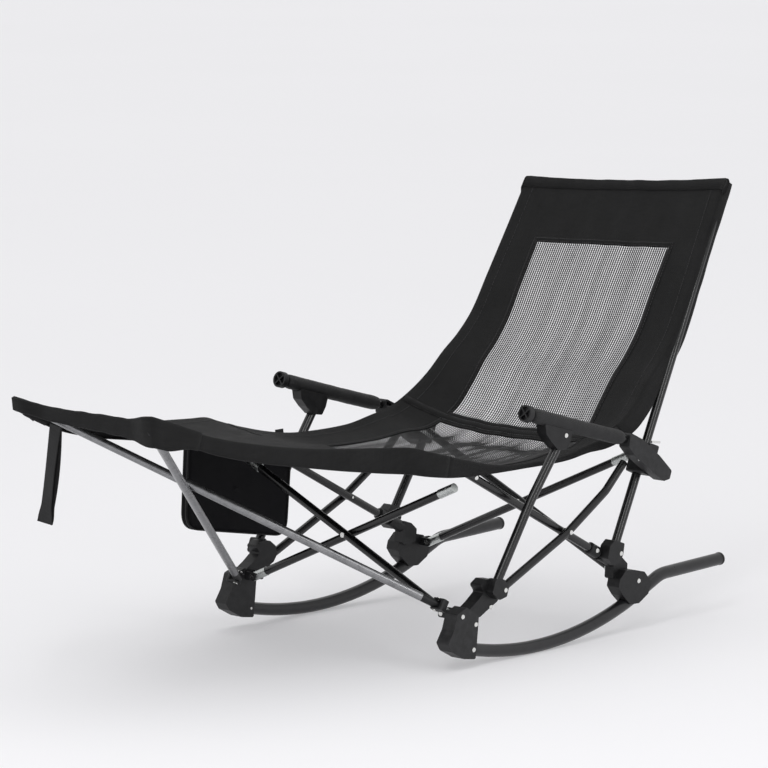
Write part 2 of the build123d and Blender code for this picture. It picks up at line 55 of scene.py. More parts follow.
class Paint:
    """A new node material, with short ways to add nodes to it."""

    def __init__(self, name, colour, roughness, **sockets):
        self.mat = bpy.data.materials.new(name)
        self.mat.use_nodes = True
        self.mat.diffuse_color = (*colour, 1)
        self.tree = self.mat.node_tree
        self.shader = self.tree.nodes["Principled BSDF"]
        self.set("Base Color", (*colour, 1))
        self.set("Roughness", roughness)
        for socket, value in sockets.items():
            self.set(socket.replace("_", " "), value)

    def set(self, socket, value):
        if isinstance(value, bpy.types.NodeSocket):
            self.tree.links.new(value, self.shader.inputs[socket])
        else:
            self.shader.inputs[socket].default_value = value

    def add(self, kind, settings=(), **inputs):
        node = self.tree.nodes.new("ShaderNode" + kind)
        for key, value in dict(settings).items():
            setattr(node, key, value)
        for key, value in inputs.items():
            socket = node.inputs[int(key[1:])] if key[1:].isdigit() else node.inputs[key.replace("_", " ")]
            if isinstance(value, bpy.types.NodeSocket):
                self.tree.links.new(value, socket)
            else:
                socket.default_value = value
        return node

    def place(self, kind="Object", scale=(1, 1, 1), turn=(0, 0, 0)):
        """Coordinates: Object is in metres in the chair's frame, and UV is in metres on the flat cloth."""
        here = self.add("TexCoord").outputs[kind]
        return self.add("Mapping", Vector=here, Scale=scale, Rotation=turn).outputs[0]

    def noise(self, where, scale, detail=3.0, rough=0.5):
        return self.add("TexNoise", Vector=where, Scale=scale, Detail=detail, Roughness=rough).outputs["Fac"]

    def cells(self, where, scale, output="Distance", feature="F1"):
        return self.add("TexVoronoi", {"feature": feature}, Vector=where, Scale=scale).outputs[output]

    def waves(self, where, direction, pitch, twist=0.0):
        settings = {"bands_direction": direction}
        return self.add(
            "TexWave", settings, Vector=where, Scale=pi / 10 / pitch, Distortion=twist
        ).outputs["Fac"]

    def sum(self, operation, first, second=0.0):
        """One step of arithmetic, such as ADD or MULTIPLY."""
        return self.add("Math", {"operation": operation}, _0=first, _1=second).outputs[0]

    def ramp(self, fac, low, high, start=0.0, end=1.0):
        """Low to high between start and end of fac; numbers or colours."""
        if isinstance(low, tuple):
            share = self.ramp(fac, 0.0, 1.0, start, end)
            mix = self.add("Mix", {"data_type": "RGBA"}, Factor=share)
            mix.inputs[6].default_value = (*low, 1)
            mix.inputs[7].default_value = (*high, 1)
            return mix.outputs[2]
        span = {"From_Min": start, "From_Max": end, "To_Min": low, "To_Max": high}
        return self.add("MapRange", Value=fac, **span).outputs[0]

    def bump(self, height, depth, strength=1.0, base=None):
        node = self.add("Bump", Height=height, Distance=depth, Strength=strength)
        if base:
            self.tree.links.new(base, node.inputs["Normal"])
        return node.outputs[0]


def woven(name, dark, light, pitch=1.1, relief=0.3, rough=0.86, sheen=0.04):
    """Coated plain-weave polyester: over and under threads, faint slubs and a dusty mottle."""
    paint = Paint(name, light, rough, Sheen_Weight=sheen, Sheen_Roughness=0.4, Specular_IOR_Level=0.16)
    flat = paint.place("UV")
    weft = paint.waves(flat, "X", pitch * MM, 0.0)
    warp = paint.waves(flat, "Y", pitch * MM, 0.0)
    squares = paint.add("TexChecker", Vector=flat, Scale=1 / (pitch * MM)).outputs["Fac"]
    thread = paint.add("Mix", {"data_type": "FLOAT"}, Factor=squares, _2=weft, _3=warp).outputs[0]
    slub = paint.noise(paint.place("UV", (1, 0.06, 1)), 420, 2)
    streak = paint.noise(paint.place("UV", (0.1, 1, 1)), 300, 2)
    mottle = paint.noise(paint.place(), 16, 5, 0.62)
    tone = paint.sum("MULTIPLY_ADD", thread, 0.42)
    tone.node.inputs[2].default_value = 0.12
    tone = paint.sum("ADD", tone, paint.ramp(mottle, -0.22, 0.3, 0.3, 0.7))
    tone = paint.sum("ADD", tone, paint.ramp(paint.sum("ADD", slub, streak), -0.12, 0.2, 0.7, 1.3))
    paint.set("Base Color", paint.ramp(tone, dark, light))
    paint.set("Roughness", paint.ramp(mottle, rough - 0.08, rough + 0.06, 0.3, 0.7))
    soft = paint.bump(mottle, 2.2 * MM, 0.35)
    paint.set("Normal", paint.bump(thread, relief * MM, 0.8, soft))
    return paint.mat


def ribbed_webbing(name, dark, light):
    """Woven tape: ribs across it, and two heavier edge cords."""
    paint = Paint(name, light, 0.72, Sheen_Weight=0.06, Sheen_Roughness=0.4, Specular_IOR_Level=0.25)
    flat = paint.place("UV")
    ribs = paint.waves(flat, "Y", 1.7 * MM, 0.4)
    cords = paint.waves(flat, "X", 2.6 * MM, 0.2)
    height = paint.sum("MULTIPLY", ribs, paint.ramp(cords, 0.55, 1.0))
    dust = paint.noise(paint.place(), 60, 4)
    paint.set("Base Color", paint.ramp(paint.sum("MULTIPLY", height, dust), dark, light, 0.05, 0.5))
    paint.set("Roughness", paint.ramp(dust, 0.64, 0.82))
    paint.set("Normal", paint.bump(height, 0.5 * MM, 0.9))
    return paint.mat


def powder_coated(name, dark, light, rough):
    """Gloss black powder coat: orange peel, dust and fine rub marks."""
    paint = Paint(name, dark, rough, Coat_Weight=0.2, Coat_Roughness=0.12, Specular_IOR_Level=0.4)
    here = paint.place()
    peel = paint.noise(here, 900, 2)
    dust = paint.noise(here, 38, 6, 0.65)
    scuff = paint.noise(paint.place("Object", (1, 0.12, 0.4)), 260, 3)
    shade = paint.sum("ADD", paint.ramp(dust, 0.0, 0.75, 0.35, 0.75), paint.ramp(scuff, 0.0, 0.5, 0.62, 0.8))
    paint.set("Base Color", paint.ramp(shade, dark, light))
    paint.set("Roughness", paint.sum("ADD", paint.ramp(dust, rough - 0.05, rough + 0.12, 0.3, 0.7),
                                     paint.ramp(scuff, 0.0, 0.12, 0.6, 0.8)))
    paint.set("Normal", paint.bump(peel, 0.12 * MM, 0.5))
    return paint.mat


def metal(name, colour, bright, rough, grain, spangle=0.0, turn=(0, 0, 0), stretch=(1, 1, 1), metallic=1.0):
    """Bare or zinc coated metal: drawn lines along the tube, a stain or spangle, and its bump."""
    paint = Paint(name, colour, rough, Metallic=metallic)
    lines = paint.noise(paint.place("Object", stretch, turn), grain, 4, 0.6)
    stain = paint.noise(paint.place(), 45, 5, 0.6)
    if spangle:
        stain = paint.sum("ADD", paint.sum("MULTIPLY", stain, 0.5),
                          paint.sum("MULTIPLY", paint.cells(paint.place(), 1 / spangle, "Color"), 0.5))
    shade = paint.sum("ADD", paint.sum("MULTIPLY", lines, 0.5), paint.sum("MULTIPLY", stain, 0.5))
    paint.set("Base Color", paint.ramp(shade, colour, bright, 0.3, 0.7))
    paint.set("Roughness", paint.ramp(stain, rough - 0.08, rough + 0.12, 0.3, 0.7))
    paint.set("Normal", paint.bump(lines, 0.08 * MM, 0.5))
    return paint.mat


def moulded(name, dark, light, rough=0.52):
    """Glass-filled black plastic: fine spark texture, flow marks and paler rubbed patches."""
    paint = Paint(name, dark, rough, Specular_IOR_Level=0.3)
    here = paint.place()
    spark = paint.cells(here, 1500, "Distance", "SMOOTH_F1")
    flow = paint.noise(here, 70, 5, 0.6)
    rub = paint.noise(here, 240, 4, 0.7)
    shade = paint.sum("ADD", paint.ramp(flow, 0.0, 0.7, 0.35, 0.7), paint.ramp(rub, 0.0, 0.45, 0.58, 0.75))
    paint.set("Base Color", paint.ramp(shade, dark, light))
    paint.set("Roughness", paint.ramp(flow, rough - 0.06, rough + 0.1, 0.3, 0.7))
    paint.set("Normal", paint.bump(spark, 0.16 * MM, 0.6, paint.bump(flow, 0.5 * MM, 0.3)))
    return paint.mat


def padding_cover(name, dark, light):
    """Knitted neoprene round the arm pads: fine cross-hatched ribs with a dull shine."""
    paint = Paint(name, light, 0.62, Sheen_Weight=0.08, Sheen_Roughness=0.35, Specular_IOR_Level=0.3)
    one = paint.waves(paint.place("Object", (1, 1, 1), (0, 0.78, 0)), "X", 1.5 * MM, 0.3)
    two = paint.waves(paint.place("Object", (1, 1, 1), (0.5, -0.78, 0.3)), "X", 1.5 * MM, 0.3)
    knit = paint.sum("MULTIPLY", one, two)
    dust = paint.noise(paint.place(), 55, 5, 0.6)
    shade = paint.sum("ADD", paint.sum("MULTIPLY", knit, 0.45), paint.ramp(dust, -0.1, 0.5, 0.3, 0.7))
    paint.set("Base Color", paint.ramp(shade, dark, light))
    paint.set("Roughness", paint.ramp(dust, 0.54, 0.72, 0.3, 0.7))
    paint.set("Normal", paint.bump(knit, 0.25 * MM, 0.7, paint.bump(dust, 1.0 * MM, 0.3)))
    return paint.mat


def thread_material(name, dark, light, rough):
    """Coated yarn: twisted plies along a thread, and a little dust."""
    paint = Paint(name, light, rough, Sheen_Weight=0.04, Specular_IOR_Level=0.25)
    ply = paint.waves(paint.place("Object", (1, 1, 1), (0.6, 0.4, 0.7)), "DIAGONAL", 1.3 * MM, 0.6)
    dust = paint.noise(paint.place(), 90, 4)
    paint.set("Base Color", paint.ramp(paint.sum("MULTIPLY", ply, dust), dark, light, 0.0, 0.5))
    paint.set("Roughness", paint.ramp(dust, rough - 0.08, rough + 0.08))
    paint.set("Normal", paint.bump(ply, 0.15 * MM, 0.6))
    return paint.mat


def studio_surface(name, colour, rough, glow):
    """The plain pale floor, which glows a little so that the shadows on it stay light."""
    paint = Paint(name, colour, rough)
    drift = paint.noise(paint.place(), 0.5, 2)
    low = tuple(0.985 * c for c in colour)
    paint.set("Base Color", paint.ramp(drift, low, colour, 0.3, 0.7))
    paint.set("Emission Color", (1.0, 0.995, 1.02, 1))
    paint.set("Emission Strength", glow)
    return paint.mat


SLING = woven("sling_cloth", (0.0072, 0.0072, 0.0074), (0.0195, 0.0195, 0.0198))
SLING_EDGE = woven("sling_edge", (0.006, 0.006, 0.0062), (0.015, 0.015, 0.0153), 0.8, 0.2)
BAG_CLOTH = woven("bag_cloth", (0.0025, 0.0025, 0.0032), (0.0075, 0.0073, 0.0095), 0.8, 0.15, 0.74, 0.02)
WEBBING = ribbed_webbing("webbing", (0.008, 0.008, 0.0085), (0.03, 0.03, 0.031))
NET = thread_material("net_yarn", (0.012, 0.012, 0.012), (0.03, 0.03, 0.031), 0.5)
STITCH = thread_material("stitch_yarn", (0.02, 0.02, 0.021), (0.06, 0.06, 0.062), 0.6)
COVER = padding_cover("arm_cover", (0.009, 0.009, 0.0095), (0.032, 0.032, 0.033))
TUBE = powder_coated("powder_coat", (0.003, 0.003, 0.0034), (0.011, 0.011, 0.0118), 0.2)
ROCKER = powder_coated("rocker_coat", (0.006, 0.006, 0.0072), (0.019, 0.019, 0.021), 0.32)
PLASTIC = moulded("moulded_plastic", (0.0055, 0.0055, 0.006), (0.02, 0.02, 0.021), 0.42)
PLASTIC_WORN = moulded("moulded_worn", (0.01, 0.01, 0.0105), (0.033, 0.033, 0.035), 0.48)
ZINC = metal("galvanised", (0.45, 0.475, 0.46), (0.72, 0.74, 0.73), 0.3, 300, 3.2 * MM)
STEEL = metal("rivet_steel", (0.62, 0.62, 0.6), (0.86, 0.86, 0.84), 0.17, 700)
REST_TURN, REST_RISE = radians(40.0), radians(-33)


def grey_tube(name, turn):
    """Bare grey tube of the leg rest, its drawn lines turned to run along it."""
    return metal(name, (0.17, 0.172, 0.178), (0.36, 0.36, 0.37), 0.3, 500,
                 turn=(REST_RISE, 0, turn), stretch=(1, 0.03, 1), metallic=0.85)


GREY_LEFT = grey_tube("grey_tube_left", -REST_TURN)
GREY_RIGHT = grey_tube("grey_tube_right", REST_TURN)
NODE_MATERIALS = {
    "rivets": STEEL, "rocker": ROCKER, "handle_cap": PLASTIC, "front_foot": PLASTIC_WORN,
    "side_long": TUBE, "side_short": TUBE, "front_post": TUBE, "back_post": TUBE, "pivot_pins": STEEL,
    "front_hub": PLASTIC, "rear_hub": PLASTIC, "slider": PLASTIC, "stop_collar": PLASTIC,
    "arm_core": TUBE, "arm_cap": PLASTIC_WORN, "arm_bracket": PLASTIC, "arm_tail": PLASTIC_WORN,
    "corner_bolt": STEEL, "rest_ends": PLASTIC, "cross": TUBE, "fittings": ZINC, "rivet": STEEL,
}


def node_material(name):
    for word, mat in (("fittings", ZINC), ("cross_rivet", STEEL), ("rest_tube_left", GREY_LEFT),
                      ("rest_tube_right", GREY_RIGHT), ("_cross_", TUBE)):
        if word in name:
            return mat
    return NODE_MATERIALS.get(name.rsplit("_", 1)[0], TUBE)


for name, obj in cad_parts.items():
    for place in obj.material_slots:
        place.material = node_material(name)

# ==================================================
# Mesh helpers
# ==================================================


def piece(name, verts, faces, mat, uvs=None, smooth=True):
    """A mesh object from points in mm."""
    mesh = bpy.data.meshes.new(name)
    mesh.from_pydata([Vector(v) * MM for v in verts], [], faces)
    if uvs:
        layer = mesh.uv_layers.new(name="flat").data
        for loop in mesh.loops:
            layer[loop.index].uv = [c * MM for c in uvs[loop.vertex_index]]
    mesh.polygons.foreach_set("use_smooth", [smooth] * len(mesh.polygons))
    mesh.materials.append(mat)
    obj = bpy.data.objects.new(name, mesh)
    bpy.context.scene.collection.objects.link(obj)
    return obj


def apply_modifiers(obj):
    """Turns the object's modifiers into its mesh."""
    graph = bpy.context.evaluated_depsgraph_get()
    graph.update()
    done = bpy.data.meshes.new_from_object(obj.evaluated_get(graph))
    obj.modifiers.clear()
    obj.data = done
    return obj


def thicken(obj, depth, offset=0.0):
    """Gives a sheet its real thickness."""
    solid = obj.modifiers.new("thickness", "SOLIDIFY")
    solid.thickness = depth * MM
    solid.offset = offset
    solid.use_even_offset = False
    return apply_modifiers(obj)


def merge(parts):
    """The points, faces and flat coordinates of several parts, as one part."""
    verts, faces, uvs = [], [], []
    for part in parts:
        start = len(verts)
        verts += part[0]
        faces += [[start + i for i in face] for face in part[1]]
        uvs += part[2]
    return verts, faces, uvs


def tube_faces(rings, around, base=0):
    """Quads between neighbouring closed rings of points, the first of them at base."""
    faces = []
    for i in range(rings):
        for k in range(around):
            a, b = base + i * around + k, base + i * around + (k + 1) % around
            faces.append([a, b, b + around, a + around])
    return faces


def ribbon(path, across, half_wide, half_thick):
    """A flat bar along a path, as (verts, faces, uvs). Its width direction and its half width may
    each be a list with an entry for every point."""
    verts, uvs, run = [], [], 0.0
    for i, point in enumerate(path):
        ahead = path[min(i + 1, len(path) - 1)] - path[max(i - 1, 0)]
        run += (point - path[i - 1]).length if i else 0
        side = across[i] if isinstance(across, list) else across
        side = (side - ahead.normalized() * side.dot(ahead.normalized())).normalized()
        up = side.cross(ahead.normalized())
        reach = half_wide[i] if isinstance(half_wide, list) else half_wide
        for a, b in ((1, 1), (-1, 1), (-1, -1), (1, -1)):
            verts.append(point + side * reach * a + up * half_thick * b)
            uvs.append((reach * a, run))
    last = 4 * (len(path) - 1)
    faces = tube_faces(len(path) - 1, 4) + [[3, 2, 1, 0], [last, last + 1, last + 2, last + 3]]
    return verts, faces, uvs


def stitches(path, up, pitch=5.2, length=3.4, wide=0.45, rise=0.25):
    """Lock stitches along a path of points, lying on a surface whose normals are in up."""
    parts, carry = [], 0.0
    for (a, b), normal in zip(zip(path, path[1:]), up):
        step = (b - a).length
        if step < 1e-6:
            continue
        way = (b - a) / step
        while carry + length < step:
            start, end = a + way * carry, a + way * (carry + length)
            middle = (start + end) / 2
            parts.append(ribbon([start, middle + normal * rise, end], way.cross(normal), wide, 0.3))
            carry += pitch
        carry = max(0.0, carry - step)
    return parts


# ==================================================
# The sling: one smooth sheet from the leg rest's tip, over the seat, to the top of the back
# ==================================================
# y and z of the side edge, half width, sag in the middle, depth of the side hem, its turn-in,
# and the half width of the middle panel
STATIONS = [
    (-688, 540, 182, 8, 22, 4, 112),
    (-574, 499, 201, 13, 30, 6, 124),
    (-456, 472, 218, 16, 33, 6, 136),
    (-365, 458, 232, 17, 35, 6, 146),
    (-273, 448, 246, 18, 41, 6, 156),
    (-179, 440, 260, 20, 47, 10, 166),
    (-122, 434, 276, 22, 49, 16, 172),
    (-78, 421, 287, 22, 45, 20, 178),
    (-13, 403, 292, 22, 36, 22, 186),
    (85, 380, 291, 24, 16, 8, 194),
    (155, 372, 290, 27, 9, 4, 198),
    (285, 372, 290, 28, 9, 4, 198),
    (358, 384, 289, 35, 13, 4, 194),
    (418, 397, 287, 50, 24, 6, 186),
    (473, 424, 283, 47, 38, 8, 176),
    (520, 457, 279, 29, 44, 8, 172),
    (561, 496, 275, 20, 40, 8, 172),
    (603, 530, 272, 14, 33, 10, 172),
    (645, 575, 270, 8, 29, 16, 172),
    (688, 646, 267, 5, 25, 26, 172),
    (751, 757, 260, 8, 24, 26, 172),
    (805, 853, 255, 10, 24, 26, 172),
]


class Rail:
    """A smooth line through the stations, measured along the side edge in mm."""

    def __init__(self, rows):
        self.rows, self.at = rows, [0.0]
        for a, b in zip(rows, rows[1:]):
            self.at.append(self.at[-1] + hypot(b[0] - a[0], b[1] - a[1]))
        self.length = self.at[-1]

    def slope(self, i, k):
        low, high = max(i - 1, 0), min(i + 1, len(self.at) - 1)
        return (self.rows[high][k] - self.rows[low][k]) / (self.at[high] - self.at[low])

    def __call__(self, s, k):
        i = max(0, min(len(self.at) - 2, sum(1 for a in self.at if a <= s) - 1))
        span = self.at[i + 1] - self.at[i]
        t = (s - self.at[i]) / span
        a, b = self.rows[i][k], self.rows[i + 1][k]
        rise = (2 * t**3 - 3 * t**2 + 1) * a + (3 * t**2 - 2 * t**3) * b
        return rise + span * ((t**3 - 2 * t**2 + t) * self.slope(i, k) + (t**3 - t**2) * self.slope(i + 1, k))

    def find(self, y):
        """How far along the edge it reaches this y."""
        low, high = 0.0, self.length
        for _ in range(40):
            middle = (low + high) / 2
            low, high = (middle, high) if self(middle, 0) < y else (low, middle)
        return low


RAIL = Rail(STATIONS)
KNEE_Y, CROTCH_Y = -40.0, 450.0
SEAT_WINDOW = (86.0, 437.0)
BACK_WINDOW = (464.0, 733.0)
TOP_LEAN, LEAN_WAY = 17.0, Vector((0, 0.49, 0.87))
CORNER_DROP, DROP_LENGTH = 12.0, 96.0  # how much deeper the left hem hangs at the tip, and how far
ROLL = 5.0  # radius of the cloth over the side edge
KNEE_S, CROTCH_S = RAIL.find(KNEE_Y), RAIL.find(CROTCH_Y)
LEAN_S, CREASE_S = RAIL.find(560.0), RAIL.find(-60.0)
SEAT_S = tuple(RAIL.find(y) for y in SEAT_WINDOW)
BACK_S = tuple(RAIL.find(y) for y in BACK_WINDOW)


def smooth(x, low, high):
    """0 below low and 1 above high, with a smooth rise between."""
    t = max(0.0, min(1.0, (x - low) / (high - low)))
    return t * t * (3 - 2 * t)


def edge_frame(s):
    """Along and up directions of the side edge."""
    step = 4.0
    a, b = max(0, s - step), min(RAIL.length, s + step)
    way = Vector((0, RAIL(b, 0) - RAIL(a, 0), RAIL(b, 1) - RAIL(a, 1))).normalized()
    return way, Vector((0, -way.z, way.y))


def lean(s):
    """The right back post is shorter, so the sling's top slopes down to that side."""
    return TOP_LEAN * smooth(s, LEAN_S, RAIL.length)


def sling(s, x, lift=0.0):
    """A point of the sling at s along the edge and x across, in mm."""
    up = edge_frame(s)[1]
    half = RAIL(s, 2)
    u = max(-1.0, min(1.0, x / half))
    dip = RAIL(s, 3) * (1 - abs(u) ** 3)
    crease = noise.noise(Vector((x / 46, s / 240, 1.7))) * 2.6
    crease += noise.noise(Vector((x / 19, s / 130, 5.1))) * 1.0
    knee = 1 - smooth(abs(s - CREASE_S), 40, 240)
    crease += knee * noise.noise(Vector((x / 30 + s / 90, s / 160, 9.3))) * 4.0
    crease *= 1 - 0.75 * abs(u) ** 4
    point = Vector((x, RAIL(s, 0), RAIL(s, 1))) - up * (dip - crease - lift)
    return point + LEAN_WAY * lean(s) * u


def sling_up(s, x):
    """Surface normal of the sling."""
    a = sling(s + 3, x) - sling(s - 3, x)
    b = sling(s, x + 3) - sling(s, x - 3)
    return b.cross(a).normalized()


HEM_COLUMNS, SIDE_COLUMNS, MIDDLE_COLUMNS = 7, 9, 30
FIRST_MIDDLE = HEM_COLUMNS + SIDE_COLUMNS
LAST_MIDDLE = FIRST_MIDDLE + MIDDLE_COLUMNS
ROW_STEP = 11.0


def hem(s, side, k):
    """Point k of the side hem: it rolls over the edge, hangs down and turns in at the bottom."""
    up = edge_frame(s)[1]
    half, depth, turn = RAIL(s, 2), RAIL(s, 4), RAIL(s, 5)
    depth += CORNER_DROP * (1 - smooth(s, 0, DROP_LENGTH)) if side > 0 else 0
    edge = sling(s, side * half)
    ripple = noise.noise(Vector((s / 38, side * 2.0, 0.4))) * 2.4
    ripple += noise.noise(Vector((s / 90, side, 3.3))) * 3.0
    if k <= 2:
        angle = pi / 2 * k / 2
        out, down = ROLL * sin(angle), ROLL * (1 - cos(angle))
    elif k <= HEM_COLUMNS - 2:
        share = (k - 2) / (HEM_COLUMNS - 4)
        out, down = ROLL + ripple * share * (1 - 0.5 * share), ROLL + (depth - ROLL) * share
    else:
        share = (k - HEM_COLUMNS + 2) / 2
        out = ROLL + ripple * 0.5 - turn * share
        down = depth + 2.0 * sin(pi * share) * min(1, turn / 8)
    return edge + Vector((side * out, 0, 0)) - up * down


def columns(s):
    """Columns across one row: (side, hem number) in the hems and x on the sling itself."""
    half, middle = RAIL(s, 2), RAIL(s, 6)
    row = [(-1, k) for k in range(HEM_COLUMNS, 0, -1)]
    row += [-half + (half - middle) * i / SIDE_COLUMNS for i in range(SIDE_COLUMNS)]
    row += [-middle + 2 * middle * i / MIDDLE_COLUMNS for i in range(MIDDLE_COLUMNS + 1)]
    row += [middle + (half - middle) * i / SIDE_COLUMNS for i in range(1, SIDE_COLUMNS + 1)]
    return row + [(1, k) for k in range(1, HEM_COLUMNS + 1)]


def rows_between(*stops):
    """Row positions that meet every stop, at most ROW_STEP apart."""
    rows = [stops[0]]
    for a, b in zip(stops, stops[1:]):
        count = max(1, ceil((b - a) / ROW_STEP))
        rows += [a + (b - a) * i / count for i in range(1, count + 1)]
    return rows


def cloth_strip(name, stops, window=None):
    """A length of the sling with its hems, and a hole where the mesh window goes."""
    rows = rows_between(*stops)
    verts, faces, uvs = [], [], []
    for s in rows:
        row = columns(s)
        half = RAIL(s, 2)
        for cell in row:
            if isinstance(cell, tuple):
                side, k = cell
                verts.append(hem(s, side, k))
                run = ROLL * pi / 4 * min(k, 2) + max(0, k - 2) * RAIL(s, 4) / HEM_COLUMNS
                uvs.append((side * (half + run), s))
            else:
                verts.append(sling(s, cell))
                uvs.append((cell, s))
    wide = len(columns(rows[0]))
    for i, (low, high) in enumerate(zip(rows, rows[1:])):
        for j in range(wide - 1):
            inside = FIRST_MIDDLE <= j < LAST_MIDDLE
            if window and inside and window[0] - 0.1 < low and high < window[1] + 0.1:
                continue
            a = i * wide + j
            faces.append([a, a + 1, a + wide + 1, a + wide])
    used = sorted({v for face in faces for v in face})
    new = {v: n for n, v in enumerate(used)}
    faces = [[new[v] for v in face] for face in faces]
    obj = piece(name, [verts[v] for v in used], faces, SLING, [uvs[v] for v in used])
    return thicken(obj, 1.8, -1.0)


def window_edge(s_range, inset, lift):
    """The line round a mesh window, inset mm outside its edge: its points and the normals there."""
    (low, high), path = s_range, []
    a, b = low - inset, high + inset
    steps = max(8, ceil((b - a) / 12))
    for i in range(steps + 1):
        s = a + (b - a) * i / steps
        path.append((s, RAIL(s, 6) + inset))
    for i in range(1, 24):
        path.append((b, (RAIL(b, 6) + inset) * (1 - i / 12)))
    for i in range(steps + 1):
        s = b - (b - a) * i / steps
        path.append((s, -RAIL(s, 6) - inset))
    for i in range(1, 24):
        path.append((a, (RAIL(a, 6) + inset) * (i / 12 - 1)))
    path.append(path[0])
    return [sling(s, x, lift) for s, x in path], [sling_up(s, x) for s, x in path]


def band(points, normals, half_wide, thick):
    """A tape that lies along a line on the sling."""
    across = []
    for i, normal in enumerate(normals):
        ahead = points[min(i + 1, len(points) - 1)] - points[max(i - 1, 0)]
        across.append(ahead.normalized().cross(normal))
    return ribbon(points, across, half_wide, thick / 2)


NET_PITCH, NET_YARN, NET_CROSS_PITCH, NET_CROSS = 5.6, 2.6, 4.6, 0.6
NET_TUCK = 5  # how far the net reaches under the window's edge


def net(name, s_range):
    """The open mesh of a window: flat yarns along the sling and finer ones across it."""
    low, high = s_range[0] - NET_TUCK, s_range[1] + NET_TUCK
    parts = []
    half = max(RAIL(s_range[0], 6), RAIL(s_range[1], 6)) + 3
    count = int(half / NET_PITCH)
    steps = ceil((high - low) / 12)
    for i in range(-count, count + 1):
        share = i * NET_PITCH / half
        path = []
        for j in range(steps + 1):
            s = low + (high - low) * j / steps
            path.append(sling(s, share * (RAIL(s, 6) + 3), -1.2))
        parts.append(ribbon(path, Vector((1, 0, 0)), NET_YARN / 2, 0.35))
    lines = int((high - low) / NET_CROSS_PITCH)
    for j in range(lines + 1):
        s = low + (high - low) * j / lines
        reach = RAIL(s, 6) + 4
        path = [sling(s, -reach + 2 * reach * i / 34, -1.9) for i in range(35)]
        parts.append(ribbon(path, edge_frame(s)[0], NET_CROSS / 2, 0.3))
    verts, faces, uvs = merge(parts)
    return piece(name, verts, faces, NET, uvs, smooth=False)


rest_cloth = cloth_strip("rest_cloth", (0.0, RAIL.find(-420), KNEE_S))
seat_cloth = cloth_strip("seat_cloth", (KNEE_S, *SEAT_S, CROTCH_S), SEAT_S)
back_cloth = cloth_strip("back_cloth", (CROTCH_S, *BACK_S, RAIL.length), BACK_S)
seat_net = net("seat_net", SEAT_S)
back_net = net("back_net", BACK_S)

BINDING_HALF, BINDING_THICK = 6.0, 0.8
SEAM_HALF, SEAM_THICK = 9.0, 0.9


def binding(name, s_range):
    """The tape round a window."""
    points, normals = window_edge(s_range, 5.5, 0.35)
    verts, faces, uvs = band(points, normals, BINDING_HALF, BINDING_THICK)
    return piece(name, verts, faces, SLING_EDGE, uvs)


seat_binding = binding("seat_window_binding", SEAT_S)
back_binding = binding("back_window_binding", BACK_S)


def seam(name, s):
    """A tape over a cross seam, from edge to edge."""
    reach = RAIL(s, 2) - 2
    xs = [-reach + 2 * reach * i / 44 for i in range(45)]
    points, normals = [sling(s, x, 0.5) for x in xs], [sling_up(s, x) for x in xs]
    verts, faces, uvs = band(points, normals, SEAM_HALF, SEAM_THICK)
    return piece(name, verts, faces, SLING_EDGE, uvs)


knee_seam = seam("knee_seam", KNEE_S)
crotch_seam = seam("crotch_seam", CROTCH_S)


def stitch_run(line, lift=0.45):
    """Stitches along (s, x) points on the sling."""
    points = [sling(s, x, lift) for s, x in line]
    return stitches(points, [sling_up(s, x) for s, x in line])


def cross_line(s, reach):
    """(s, x) points across the sling."""
    return [(s, -reach + 2 * reach * i / 40) for i in range(41)]


EDGE_SEWING = 24.0


def side_lines(low, high):
    """(s, x) points along both sides of the sling, just inside the edge."""
    count = ceil((high - low) / 14)
    spots = [low + (high - low) * i / count for i in range(count + 1)]
    return [[(s, side * (RAIL(s, 2) - EDGE_SEWING)) for s in spots] for side in (-1, 1)]


def sewing(name, lines, loops=()):
    """All the stitches of one cloth, along lines of (s, x) points and round its window."""
    parts = [part for line in lines for part in stitch_run(line)]
    for s_range, inset in loops:
        points, normals = window_edge(s_range, inset, 0.95)
        parts += stitches(points, normals)
    verts, faces, uvs = merge(parts)
    return piece(name, verts, faces, STITCH, uvs, smooth=False)


BINDING_SEWING = (2.2, 9.0)  # the two lines of stitches on a window's binding
rest_sewing = sewing(
    "rest_stitches", side_lines(24, KNEE_S - 12) + [cross_line(26, RAIL(26, 2) - 8)])
seat_sewing = sewing(
    "seat_stitches",
    side_lines(KNEE_S + 12, CROTCH_S - 12) + [cross_line(KNEE_S + 6, 280), cross_line(CROTCH_S - 6, 276)],
    [(SEAT_S, inset) for inset in BINDING_SEWING])
back_sewing = sewing(
    "back_stitches",
    side_lines(CROTCH_S + 12, RAIL.length - 20) + [cross_line(CROTCH_S + 6, 276)],
    [(BACK_S, inset) for inset in BINDING_SEWING])

# ==================================================
# Top hem: the cloth folds over the post tips and down the back
# ==================================================
TOP_BACK, TOP_THIN = 26.0, 7.0  # depth of the fold at the posts, and between them
TOP_FLAP = 34.0


